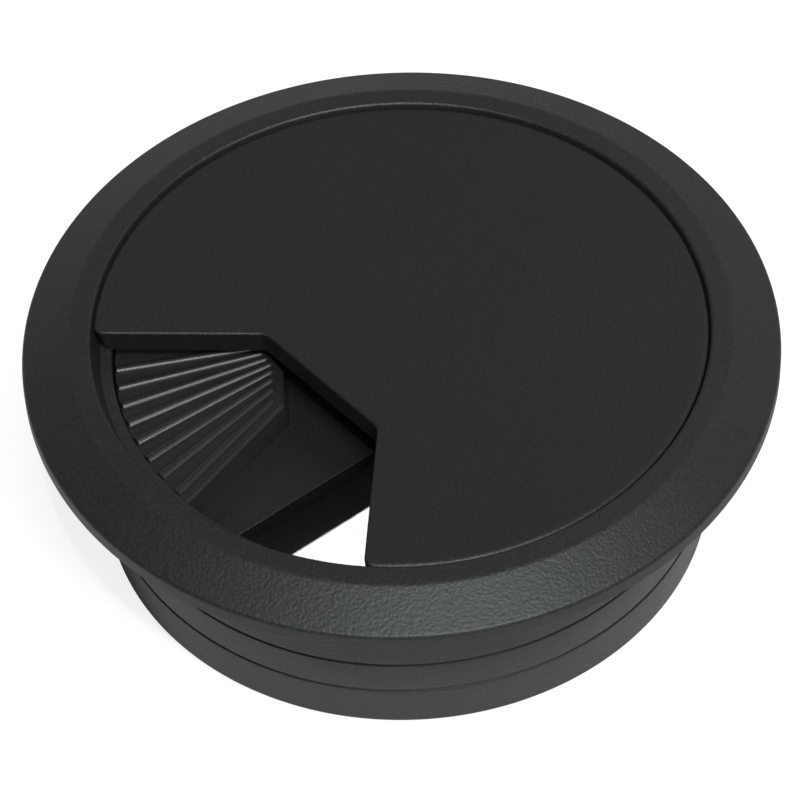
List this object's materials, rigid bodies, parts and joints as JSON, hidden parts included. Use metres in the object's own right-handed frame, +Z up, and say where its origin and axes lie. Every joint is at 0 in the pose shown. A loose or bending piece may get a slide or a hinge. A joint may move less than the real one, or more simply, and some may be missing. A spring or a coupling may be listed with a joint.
{
  "type": "cable grommet",
  "caption": "Round desk cable grommet: flanged liner with a stepped collar, a flush cover with a cable notch, and a turning shutter with a ribbed finger pad.",
  "frame": {"origin": "on the collar's axis, level with the flange's underside, which lies on the desk's surface", "axes": "+Z up out of the desk along the collar's axis; the cover's notch opens midway between -X and -Y"},
  "size_m": [0.072, 0.072, 0.0234],
  "materials": {
    "liner": "fine spark-eroded grain, matt black",
    "cover": "fine spark-eroded grain, matt black",
    "shutter": "smooth satin black"
  },
  "bodies": {
    "base": {"liner": "liner", "cover": "cover"},
    "shutter": {"shutter": "shutter"}
  },
  "joints": [
    {"name": "shutter_turn", "type": "hinge", "parent": "base", "child": "shutter", "pos_m": [0, 0, -0.00362], "axis": [0, 0, 1], "range_deg": [-18, 36]}
  ]
}
